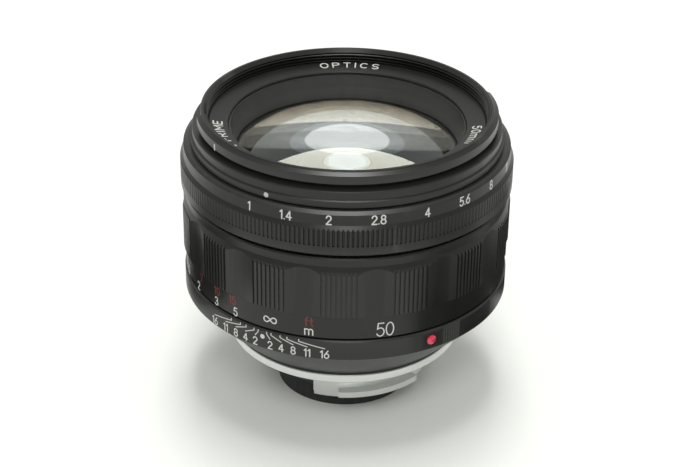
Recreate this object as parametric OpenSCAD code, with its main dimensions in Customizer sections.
// Fast 50 mm prime lens with a bayonet mount, standing front up.
// Origin: centre of the mount flange's rear face. +Z runs along the optical axis to the front.
// The index line, which is on top when the lens is mounted, faces -Y.

/* [Mount] */
// Radius of the bright mount flange
flange_r = 26.4; // [25.5:0.1:27]
// Thickness of the mount flange
flange_t = 2; // [1.8:0.1:2.2]
// Outer radius of the bayonet tube
tube_r = 19.95; // [19.6:0.05:20]
// Radius over the three bayonet lugs
lug_r = 21.95; // [21.5:0.05:22.1]
// How far the bayonet tube reaches behind the flange
tube_depth = 8.4; // [8:0.1:9]

/* [Depth Scale] */
// Radius of the depth-of-field scale ring
scale_r = 36.5; // [36:0.1:36.9]
// Height of the scale ring's lower edge
scale_z0 = 12.6; // [12:0.1:13]
// Height of the scale ring's upper edge
scale_z1 = 17.25; // [17:0.05:17.4]

/* [Focus Ring] */
// Radius of the distance scale band
band_r = 36.2; // [36:0.1:36.4]
// Radius over the ribs of the grip
grip_r = 36.7; // [36.5:0.1:36.9]
// Number of ribbed blocks, with a shallow scallop between each two
grip_blocks = 15; // [10:1:16]
// Grooves in each ribbed block
grooves_per_block = 8; // [5:1:8]
// Focus travel from rest towards infinity, in degrees
focus_far = 2.75; // [1:0.25:4]
// Focus travel from rest towards close focus, in degrees
focus_near = 81.5; // [70:0.25:85]

/* [Aperture Ring] */
// Radius over the knurl
knurl_r = 36.8; // [36.6:0.1:37]
// Teeth in the knurl
knurl_teeth = 230; // [120:1:240]
// Number of iris blades
blade_count = 12; // [12:1:12]

/* [Front] */
// Radius of the front rim
rim_r = 32.05; // [31.9:0.05:32.2]
// Height of the front rim above the flange
front_z = 55.2; // [55:0.1:55.4]
// Major radius of the filter thread
filter_r = 31; // [30.9:0.1:31.1]

/* [Hidden] */
$fn = 180;

// Angles are given as azimuths: 0 at the index line (-Y), growing towards +X.
index_turn = -90;
// Radial clearance of a turning or sliding fit, and of a dropped-in lens element
fit = 0.04;
seat = 0.02;

// Mount
tube_bore = 18.6;
lug_z0 = -6.9;
lug_z1 = -5.5;
lug_centres = [52, 172, 286];
// The tube steps in behind the lugs
tip_z = -7;
tip_r = 19.6;
lug_span = 52;
slot_from = -48;
slot_to = 9;
slot_top = -1.6;
mount_screw_pcr = 23.2;
mount_screw_azimuths = [20, 92, 164, 236, 308];
bead_azimuth = 59.6;
bead_z = 14.9;
thumb_azimuth = 68;
scale_screw_azimuths = [130, 210, 290];
index_screw_azimuths = [130, 210, 290];

// Fixed barrel
disc_z0 = 9;
disc_z1 = 11;
race_r = 29.6;
race_out = 31.2;
race_z1 = 17;
retainer_out = 34.2;
key_azimuths = [90, 270];
key_w = 5;

// Focus ring
focus_z0 = 17.6;
focus_z1 = 36.9;
neck_r = 35.95;
grip_z0 = 23;
grip_z1 = 33.3;
grip_cone_z = 35.1;
helicoid_r = 27.5;
helicoid_out = race_r - 0.05;
groove_w = 0.5;
groove_depth = 0.26;
groove_pitch = 1.035;
grip_azimuth = 3;
scallop_cut_r = 22.5;

// Lens barrel
barrel_z0 = 20;
barrel_bore = 25.2;
sleeve_out = 33.9;
sleeve_in = 32.3;
ledge_in = 30.9;
sleeve_z1 = 47.5;
aperture_z0 = 38;
aperture_z1 = 47.65;
link_z0 = 39.5;
link_z1 = 40.8;
link_r0 = 23.35;
link_r1 = 24.35;
aperture_open = 5;
aperture_close = 115.5;

// Iris
iris_floor_z = 17.5;
blade_pitch = 0.13;
blade_t = 0.07;
blade_in = 15.3;
blade_out = 21.5;
blade_sweep = 104;
pivot_r = 22.3;
drive_pin_r = 23.7;
iris_turn = 0.3016;

// ---------------------------------------------------------------- helpers

// Turns its children to an azimuth, so that +X of the children points outward there
module at(azimuth) rotate([0, 0, azimuth + index_turn]) children();

// A ring of rectangular section with chamfers: outer lower, outer upper, inner lower, inner upper
module ring(r_out, r_in, z0, z1, ol = 0, ou = 0, il = 0, iu = 0)
    rotate_extrude() polygon([
        [r_in + il, z0], [r_out - ol, z0], [r_out, z0 + ol], [r_out, z1 - ou],
        [r_out - ou, z1], [r_in + iu, z1], [r_in, z1 - iu], [r_in, z0 + il]]);

// A solid of revolution from outline points [radius, height]
module turned(points) rotate_extrude() polygon(points);

// A block that reaches outward from radius r0 to r1, w wide, from z0 to z1
module bar(r0, r1, w, z0, z1) translate([r0, -w / 2, z0]) cube([r1 - r0, w, z1 - z0]);

// A ring sector from azimuth a0 to a1, under 180 degrees
module sector(r_out, r_in, a0, a1, z0, z1) {
    steps = ceil((a1 - a0) / 60);
    step = (a1 - a0) / steps;
    far = 2 * r_out;
    intersection() {
        translate([0, 0, z0]) difference() {
            cylinder(r = r_out, h = z1 - z0);
            translate([0, 0, -1]) cylinder(r = r_in, h = z1 - z0 + 2);
        }
        translate([0, 0, z0 - 0.5]) linear_extrude(z1 - z0 + 1)
            polygon(concat([[0, 0]], [for (i = [0:steps])
                far * [cos(a0 + i * step + index_turn), sin(a0 + i * step + index_turn)]]));
    }
}

// A radial screw: shank from radius r0 to r1 at height z
module radial_pin(azimuth, r, r0, r1, z)
    at(azimuth) translate([r0, 0, z]) rotate([0, 90, 0]) cylinder(r = r, h = r1 - r0, $fn = 32);

// A slotted set screw that points outward
module set_screw(azimuth, r, r0, r1, z) difference() {
    radial_pin(azimuth, r, r0, r1, z);
    at(azimuth) translate([r1 - 0.3, -0.15, z - r - 1]) cube([1, 0.3, 2 * r + 2]);
}

// An axial countersunk screw with a cross slot, head down at z0
module flat_screw(head_r, r, head_h, z0, z1) difference() {
    union() {
        translate([0, 0, z0]) cylinder(r1 = head_r, r2 = r, h = head_h, $fn = 48);
        translate([0, 0, z0 + head_h]) cylinder(r = r, h = z1 - z0 - head_h, $fn = 48);
    }
    for (turn = [0, 90]) rotate([0, 0, turn])
        translate([-head_r * 0.6, -0.18, z0 - 1]) cube([head_r * 1.2, 0.36, 1.4]);
}

// A glass element. A front or rear radius is positive where the surface's centre is behind it.
module element(r, front_z0, front_curve, edge_z1, rear_z0, rear_curve, edge_z0) {
    $fn = 480;
    difference() {
        intersection() {
            translate([0, 0, edge_z0]) cylinder(r = r, h = (front_curve > 0 ? front_z0 : edge_z1) - edge_z0);
            if (front_curve > 0) translate([0, 0, front_z0 - front_curve]) sphere(r = front_curve);
            if (rear_curve < 0) translate([0, 0, rear_z0 - rear_curve]) sphere(r = -rear_curve);
        }
        if (front_curve < 0) translate([0, 0, front_z0 - front_curve]) sphere(r = -front_curve);
        if (rear_curve > 0) translate([0, 0, rear_z0 - rear_curve]) sphere(r = rear_curve);
    }
}

// ---------------------------------------------------------------- mount and fixed parts

module mount_flange() color("silver") difference() {
    union() {
        ring(flange_r, tube_bore, 0, flange_t, ol = 0.25, ou = 0.15);
        difference() {
            turned([[tube_bore, 0.1], [tube_r, 0.1], [tube_r, tip_z], [tip_r, tip_z],
                [tip_r, -tube_depth + 0.3], [tip_r - 0.3, -tube_depth], [tube_bore, -tube_depth]]);
            // window in the tube, with one rounded corner
            sector(tube_r + 1, tube_bore - 1, slot_from, slot_to - 4, -tube_depth - 1, slot_top);
            sector(tube_r + 1, tube_bore - 1, slot_to - 6, slot_to, -tube_depth - 1, slot_top - 1.4);
            radial_pin(slot_to - 4, 1.4, tube_bore - 1, tube_r + 1, slot_top - 1.4);
        }
        for (a = lug_centres)
            sector(lug_r, tube_r - 0.5, a - lug_span / 2, a + lug_span / 2, lug_z0, lug_z1);
    }
    for (a = mount_screw_azimuths) at(a) translate([mount_screw_pcr, 0, 0]) {
        translate([0, 0, -0.01]) cylinder(r1 = 1.72, r2 = 0.95, h = 0.9, $fn = 48);
        translate([0, 0, -1]) cylinder(r = 1.05, h = flange_t + 2, $fn = 48);
    }
    // pocket for the camera's locking pin
    at(118) translate([mount_screw_pcr, 0, -1]) cylinder(r = 1.6, h = 1.9, $fn = 48);
}

module mount_screws() color("gainsboro")
    for (a = mount_screw_azimuths) at(a) translate([mount_screw_pcr, 0, 0])
        flat_screw(1.65, 0.9, 0.85, 0.05, 5.2);

module depth_scale_ring() color("#202020") difference() {
    turned([[24.4, flange_t], [flange_r - 0.3, flange_t], [flange_r - 0.3, flange_t + 0.35],
        [scale_r - 0.35, scale_z0 - 0.25], [scale_r, scale_z0 + 0.1], [scale_r, scale_z1 - 0.35],
        [scale_r - 0.35, scale_z1], [34.4, scale_z1], [34.4, 13.2],
        [33.0, 11.6], [32.6, 10.4], [25.9, 3.4], [24.4, 3.4]]);
    // fine ribs of the thumb rest
    for (i = [0:6]) at(thumb_azimuth + (i - 3) * 1.1) translate([scale_r, 0, scale_z0 + 2.5])
        rotate([0, 0, 45]) cube([0.45, 0.45, scale_z1 - scale_z0 + 3], center = true);
    // socket of the index bead
    at(bead_azimuth) translate([scale_r - 1.3, 0, bead_z]) rotate([0, 90, 0])
        cylinder(r = 1.1 + seat, h = 3, $fn = 48);
    for (a = scale_screw_azimuths) radial_pin(a, 0.75 + seat, 30, 40, 14.1);
}

module mount_index_bead() color("crimson") at(bead_azimuth) translate([scale_r - 1.2, 0, bead_z])
    rotate([0, 90, 0]) intersection() {
        cylinder(r = 1.1, h = 2, $fn = 48);
        sphere(r = 1.75, $fn = 48);
    }

module base_barrel() color("#303030") difference() {
    turned([[tube_bore + 0.3, flange_t], [24.35, flange_t], [24.35, 8.2], [27.3, disc_z0 - 0.8],
        [29.6, disc_z0 + 0.2], [race_out, disc_z1 - 0.2], [race_out, race_z1], [race_r, race_z1],
        [race_r, disc_z1], [22.4, disc_z1], [22.4, 3.4], [tube_bore + 0.3, 3.4]]);
    for (a = mount_screw_azimuths) at(a) translate([mount_screw_pcr, 0, 0])
        cylinder(r = 0.92, h = 5.6, $fn = 48);
    for (a = key_azimuths) at(a) for (side = [-1, 1]) translate([26.3, side * 1.4, 0])
        cylinder(r = 0.62, h = disc_z1 + 1, $fn = 32);
}

module guide_keys() color("goldenrod") for (a = key_azimuths) at(a) difference() {
    union() {
        bar(25.5, 27.1, key_w, disc_z1, 30);
        bar(25.5, 27.3, key_w, disc_z1, disc_z1 + 0.4);
    }
    for (side = [-1, 1]) translate([26.3, side * 1.4, 0]) cylinder(r = 0.62, h = 13.4, $fn = 32);
}

module guide_key_screws() color("gainsboro")
    for (a = key_azimuths) at(a) for (side = [-1, 1]) translate([26.3, side * 1.4, 0]) {
        translate([0, 0, disc_z0 - 0.5]) cylinder(r = 0.6, h = 4.6, $fn = 32);
        translate([0, 0, disc_z0 - 1.8]) cylinder(r = 0.95, h = 1.0, $fn = 32);
    }

module focus_retaining_ring() color("#303030") difference() {
    turned([[race_out + seat, 12.4], [33.2, 12.4], [retainer_out, 13.4], [retainer_out, 20.9],
        [race_r + 0.3, 20.9], [race_r + 0.3, 19.1], [race_out + seat, 19.1]]);
    for (a = scale_screw_azimuths) radial_pin(a, 0.75, 30, 40, 14.1);
    at(180) translate([32.4, 0, 19.9]) cylinder(r = 0.9 + seat, h = 3, $fn = 32);
    // two spanner holes
    for (a = [60, 240]) at(a) translate([32.4, 0, 19.6]) cylinder(r = 0.8, h = 3, $fn = 32);
}

module focus_stop_screw() color("gainsboro") at(180) translate([32.4, 0, 0]) {
    translate([0, 0, 19.95]) cylinder(r = 0.9, h = 1.1, $fn = 32);
    translate([0, 0, 21.05]) cylinder(r = 1.2, h = 1.6, $fn = 32);
}

module scale_ring_screws() color("dimgray")
    for (a = scale_screw_azimuths) set_screw(a, 0.75, race_out + 0.1, scale_r - 0.5, 14.1);

// ---------------------------------------------------------------- focus ring

// Outline of the ribbed and scalloped grip
module grip_outline() difference() {
    circle(r = grip_r);
    for (i = [0:grip_blocks - 1])
        rotate([0, 0, i * 360 / grip_blocks + grip_azimuth + index_turn]) {
        rotate([0, 0, 180 / grip_blocks]) translate([band_r + scallop_cut_r - 0.02, 0])
            circle(r = scallop_cut_r, $fn = 720);
        for (j = [0:grooves_per_block - 1])
            rotate([0, 0, (j - (grooves_per_block - 1) / 2) * groove_pitch / grip_r * 180 / PI])
                translate([grip_r - groove_depth, -groove_w / 2]) square([2, groove_w]);
    }
}

module focus_grip_ring() color("#262626") difference() {
    union() {
        // scale band and neck
        turned([[34.5, focus_z0], [band_r - 0.2, focus_z0], [band_r, focus_z0 + 0.2],
            [band_r, grip_z0 + 0.2], [neck_r, grip_z0 + 0.4], [neck_r, focus_z1 - 0.3],
            [neck_r - 0.3, focus_z1], [helicoid_out + 0.02, focus_z1],
            [helicoid_out + 0.02, focus_z1 - 1.9], [34.5, focus_z1 - 1.9]]);
        // grip
        intersection() {
            translate([0, 0, grip_z0]) linear_extrude(grip_cone_z - grip_z0) difference() {
                grip_outline();
                circle(r = 35);
            }
            turned([[30, grip_z0], [grip_r - 0.15, grip_z0], [grip_r + 0.01, grip_z0 + 0.2],
                [grip_r + 0.01, grip_z1], [neck_r - 0.05, grip_cone_z], [30, grip_cone_z]]);
        }
        // stops that meet the stop screw at both ends of the travel
        for (a = [180 - focus_near - 7.4, 180 + focus_far + 2.4])
            sector(34.7, 32.5, a, a + 5, 21.2, 23.6);
    }
    for (a = [0:60:300]) at(a + 15) translate([31.2, 0, 0]) {
        translate([0, 0, 30]) cylinder(r = 0.8, h = 8, $fn = 32);
        translate([0, 0, focus_z1 - 1.05]) cylinder(r = 1.45, h = 2, $fn = 32);
    }
}

module focus_helicoid() color("goldenrod") difference() {
    turned([[helicoid_r + fit, disc_z1 + 0.2], [helicoid_out, disc_z1 + 0.2],
        [helicoid_out, race_z1 + 0.05], [race_out - 0.1, race_z1 + 0.05],
        [race_out - 0.1, 19.05], [helicoid_out, 19.05], [helicoid_out, 33.2], [32.6, 33.2],
        [32.6, focus_z1 - 1.92], [helicoid_out, focus_z1 - 1.92], [helicoid_out, focus_z1 - 0.2],
        [helicoid_r + fit, focus_z1 - 0.2]]);
    for (a = [0:60:300]) at(a + 15) translate([31.2, 0, 30]) cylinder(r = 0.72, h = 8, $fn = 32);
}

module focus_ring_screws() color("gainsboro") for (a = [0:60:300]) at(a + 15)
    translate([31.2, 0, 0]) {
        translate([0, 0, 33.4]) cylinder(r = 0.7, h = 2.5, $fn = 32);
        translate([0, 0, focus_z1 - 1.03]) difference() {
            cylinder(r = 1.35, h = 0.75, $fn = 32);
            translate([-2, -0.2, 0.45]) cube([4, 0.4, 1]);
        }
    }

module rangefinder_cam() color("#5b5245") difference() {
    turned([[17.3, -6.4], [18.2, -6.4], [18.2, 4.6], [21.8, 4.6], [21.8, 11.6], [helicoid_r, 11.6],
        [helicoid_r, 14.2], [20.6, 14.2], [20.6, 6], [17.3, 6]]);
    for (a = key_azimuths) at(a) bar(25.5 - fit, 29, key_w + 2 * fit, 10, 18);
}

// ---------------------------------------------------------------- lens barrel and front

module lens_barrel() color("#2b2b2b") difference() {
    turned([[barrel_bore, barrel_z0], [helicoid_r, barrel_z0], [helicoid_r, 37.2], [33.4, 37.4],
        [33.4, 38.3], [sleeve_out, 38.6], [sleeve_out, sleeve_z1], [sleeve_in, sleeve_z1],
        [sleeve_in, 41.3], [ledge_in, 41.3], [ledge_in, 38.8], [barrel_bore, 38.8]]);
    for (a = key_azimuths) at(a) bar(24, helicoid_r + 1, key_w + 2 * fit, barrel_z0 - 1, 34);
    // slot for the iris link, as long as the aperture ring's travel
    sector(sleeve_out + 1, ledge_in - 1, 180 - aperture_close - 6, 180 + aperture_open + 6,
        link_z0 - 0.3, link_z1 + 0.2);
    // click spring bore
    radial_pin(0, 0.85, 30.9, 40, 44.6);
    for (a = index_screw_azimuths) radial_pin(a, 0.62, 30, 40, 46.6);
}

module click_ball() color("silver") at(0) translate([33.05, 0, 44.6]) sphere(r = 0.78, $fn = 48);

// A curved leaf that backs the click ball
module click_spring() color("silver") sector(32.25, 31.95, -14, 14, 43.7, 45.5);

module index_ring() color("#262626") difference() {
    turned([[31.62, 47.6], [33.2, 47.6], [33.2, 47.85], [34.25, 47.85], [34.4, 48], [34.4, 49.35],
        [34, 49.55], [34, 51.2], [33.8, 51.4], [31.62, 51.4]]);
    for (a = index_screw_azimuths) radial_pin(a, 0.62, 30, 40, 50.3);
}

module index_ring_screws() color("dimgray")
    for (a = index_screw_azimuths) set_screw(a, 0.6, 31.64, 33.85, 50.3);

module filter_ring() color("#262626") difference() {
    union() {
        turned([[30.6, 45.9], [32.22, 45.9], [32.22, 47.56], [31.6, 47.56], [31.6, 52.5],
            [rim_r, 52.5], [rim_r, front_z - 0.15], [rim_r - 0.15, front_z], [31.35, front_z],
            [30.75, front_z - 0.75], [30.55, front_z - 0.95], [30.55, 52.3], [31.05, 52.3],
            [31.05, 51.5], [30.55, 51.5], [28.6, 50.8],
            [28.6, 49.4], [30.6, 48.6]]);
        intersection() {
            turned([[31, 52.5], [32.85, 52.5], [33, 52.65], [33, 54.45], [rim_r - 0.05, 55], [31, 55]]);
            union() {
                sector(34, 30, -51, 42, 52, 56);
                sector(34, 30, 41.9, 135, 52, 56);
            }
        }
    }
    // sunk lines of the filter thread
    for (i = [0:2]) turned_groove(30.5, filter_r, 52.7 + i * 0.75, 0.75);
}

// A V groove in a bore wall, from the wall's radius out to the groove's bottom
module turned_groove(r0, r1, z, w)
    rotate_extrude() polygon([[r0, z - w * 0.42], [r1, z], [r0, z + w * 0.42]]);

module name_ring() color("#242424")
    turned([[30.5, 52.15], [30.5, 51.6], [28.7, 50.95], [26.9, 49.6], [26.05, 49.9], [26.05, 51.4],
        [26.25, 51.6], [30.1, 52.2]]);

module front_bezel() color("#3a3a3a") turned([
    [24.55, 45.45], [25.25, 45.3], [25.25, 46.4], [26.95, 47], [26.95, 49.3],
    [25.95, 49.75], [25.95, 50.9], [25.7, 50.95], [25.2, 48.2]]);

module front_cell() color("#1d1d1d") turned([
    [18.4, 21.2], [23.1, 21.2], [23.1, 41.32], [32.2, 41.32], [32.2, 43.2], [28.2, 43.2], [28.2, 47.4],
    [27.05, 47.4], [27.05, 46.5], [25.3, 46.3], [25.3, 42.85], [22.02, 42.85],
    [22.02, 35.2], [20.4, 35.2], [20.4, 33.8], [19.62, 33.6], [19.62, 21.5], [18.4, 21.5]]);

module element_1() color("lightsteelblue") element(25.28, 51.3, 52, 0, 45.6, 100, 42.88);
module element_2() color("lightsteelblue") element(22, 43.4, 42, 0, 37.86, 95, 35.24);
module element_3() color("lightsteelblue") element(19.6, 36.9, 60, 0, 30.92, -150, 30.92);
module element_4($fn = 480) color("lightsteelblue") intersection() {
    element(19.6, 36, 300, 0, 28.9, 22, 21.56);
    difference() {
        translate([0, 0, 20]) cylinder(r = 19.6, h = 14);
        translate([0, 0, 30.9 + 150]) sphere(r = 150);
    }
}

// ---------------------------------------------------------------- iris

module iris_housing() color("#333333") difference() {
    union() {
        ring(25.1, 15.2, iris_floor_z - 1, iris_floor_z);
        ring(25.1, 24.45, iris_floor_z - 0.1, 21.1);
    }
    for (i = [0:blade_count - 1]) at(i * 360 / blade_count) translate([pivot_r, 0, 10])
        cylinder(r = 0.5, h = 10, $fn = 32);
}

module iris_cover() color("#333333") ring(23.1, 19.8, 20.35, 21.15);

module iris_drive_ring() color("goldenrod") difference() {
    ring(24.38, 19.8, 19.35, 20.25);
    ring(24.1, 22.95, 19, 19.85);
}

module iris_link() color("goldenrod") at(180) difference() {
    union() {
        bar(link_r0, link_r1, 3.4, 20.25, link_z1);
        bar(link_r0, 32, 3.4, link_z0, link_z1);
    }
    translate([29, 0, (link_z0 + link_z1) / 2]) rotate([0, 90, 0]) cylinder(r = 0.42, h = 5, $fn = 32);
}

module blade(i) {
    z = iris_floor_z + 0.12 + i * blade_pitch;
    // the blades' arc is centred on the axis when the iris is wide open
    rest_turn = aperture_open * iris_turn;
    color("#3c3c3f") at(i * 360 / blade_count) translate([pivot_r, 0, 0]) rotate([0, 0, rest_turn])
        translate([-pivot_r, 0, 0]) {
            translate([0, 0, z]) linear_extrude(blade_t) {
                intersection() {
                    difference() {
                        circle(r = blade_out);
                        circle(r = blade_in);
                    }
                    polygon(concat([[0, 0]], [for (k = [0:2])
                        60 * [cos(k * blade_sweep / 2), sin(k * blade_sweep / 2)]]));
                }
                difference() {
                    translate([blade_out - 1, -0.9]) square([drive_pin_r - blade_out + 1, 1.8]);
                    circle(r = blade_in + 1);
                }
                translate([drive_pin_r, 0]) circle(r = 0.62, $fn = 32);
            }
            translate([pivot_r, 0, iris_floor_z - 0.9]) cylinder(r = 0.44, h = z - iris_floor_z + 0.9, $fn = 32);
            translate([drive_pin_r, 0, z + blade_t]) cylinder(r = 0.3, h = 19.7 - z - blade_t, $fn = 32);
        }
}

// ---------------------------------------------------------------- rear optics

module rear_cell() color("#1d1d1d") turned([
    [14.6, 16.45], [24.9, 16.45], [24.9, 15.2], [16.95, 14.2], [16.95, -6.2], [15.4, -8.8],
    [15.4, -13.2], [14.8, -13.2], [14.8, -9.05], [15.02, -8.83], [15.02, -6.4], [15.62, -6],
    [15.62, -0.6], [15.82, -0.6], [15.82, 16.12], [14.6, 16.12]]);

module element_5() color("lightsteelblue") element(15.8, 11.6, -26, 16.09, 9.82, 38, 6.38);
module element_6() color("lightsteelblue") element(15.8, 9.8, 38, 0, 1.4, -48, 1.4);
module element_7() color("lightsteelblue") element(15.6, 0.9, 70, 0, -4.3, -70, -4.3);
module element_8() color("lightsteelblue") element(15, -4.8, 48, 0, -8, 140, -8.9);
module element_9() color("lightsteelblue") element(14, -10.3, -90, -9, -11.9, 200, -12.6);

module rear_spacer() color("#1d1d1d") turned([
    [14.7, -0.5], [15.8, -0.5], [15.8, 3.9], [14.7, 3.3]]);

module rear_retaining_ring() color("#1d1d1d") turned([
    [13.3, -13.1], [14.78, -13.1], [14.78, -9.15], [14.03, -9.15], [14.03, -12.45], [13.3, -12.55]]);

// ---------------------------------------------------------------- aperture ring

// Outline of the toothed grip
module knurl_outline() {
    step = 360 / knurl_teeth;
    root_r = knurl_r - 0.22;
    tip_r = knurl_r + 0.05;
    polygon([for (i = [0:knurl_teeth - 1])
        for (corner = [[-0.42, root_r], [-0.22, tip_r], [0.22, tip_r], [0.42, root_r]])
            let (a = (i + corner[0]) * step) corner[1] * [cos(a), sin(a)]]);
}

module aperture_ring() color("#262626") difference() {
    turned([[sleeve_out + fit, aperture_z0 + 0.2], [34.3, aperture_z0], [knurl_r - 0.35, aperture_z0],
        [knurl_r, aperture_z0 + 0.35], [knurl_r, 43.95], [36.15, 44.85], [36.02, 47.15],
        [35.1, aperture_z1], [sleeve_out + fit, aperture_z1]]);
    translate([0, 0, 40.2]) linear_extrude(5) difference() {
        circle(r = 40);
        knurl_outline();
    }
    // click notches, one at each half stop
    click_step = (aperture_close + aperture_open) / 16;
    for (i = [0:16]) at(i * click_step - aperture_open) translate([sleeve_out, 0, 43.6])
        cylinder(r = 0.4, h = 2, $fn = 24);
    radial_pin(180, 0.42, 30, 35.4, (link_z0 + link_z1) / 2);
}

module aperture_drive_screw() color("gainsboro")
    radial_pin(180, 0.4, 29.2, 35.3, (link_z0 + link_z1) / 2);

mount_flange();
mount_screws();
depth_scale_ring();
mount_index_bead();
base_barrel();
guide_keys();
guide_key_screws();
focus_retaining_ring();
focus_stop_screw();
scale_ring_screws();
focus_grip_ring();
focus_helicoid();
focus_ring_screws();
lens_barrel();
filter_ring();
index_ring();
index_ring_screws();
name_ring();
front_bezel();
front_cell();
element_1();
element_2();
element_3();
element_4();
iris_housing();
iris_cover();
rear_cell();
rear_spacer();
rear_retaining_ring();
element_5();
element_6();
element_7();
element_8();
element_9();
click_ball();
click_spring();
aperture_ring();
aperture_drive_screw();
iris_drive_ring();
iris_link();
rangefinder_cam();
blade(0);  // blade_01
blade(1);  // blade_02
blade(2);  // blade_03
blade(3);  // blade_04
blade(4);  // blade_05
blade(5);  // blade_06
blade(6);  // blade_07
blade(7);  // blade_08
blade(8);  // blade_09
blade(9);  // blade_10
blade(10);  // blade_11
blade(11);  // blade_12
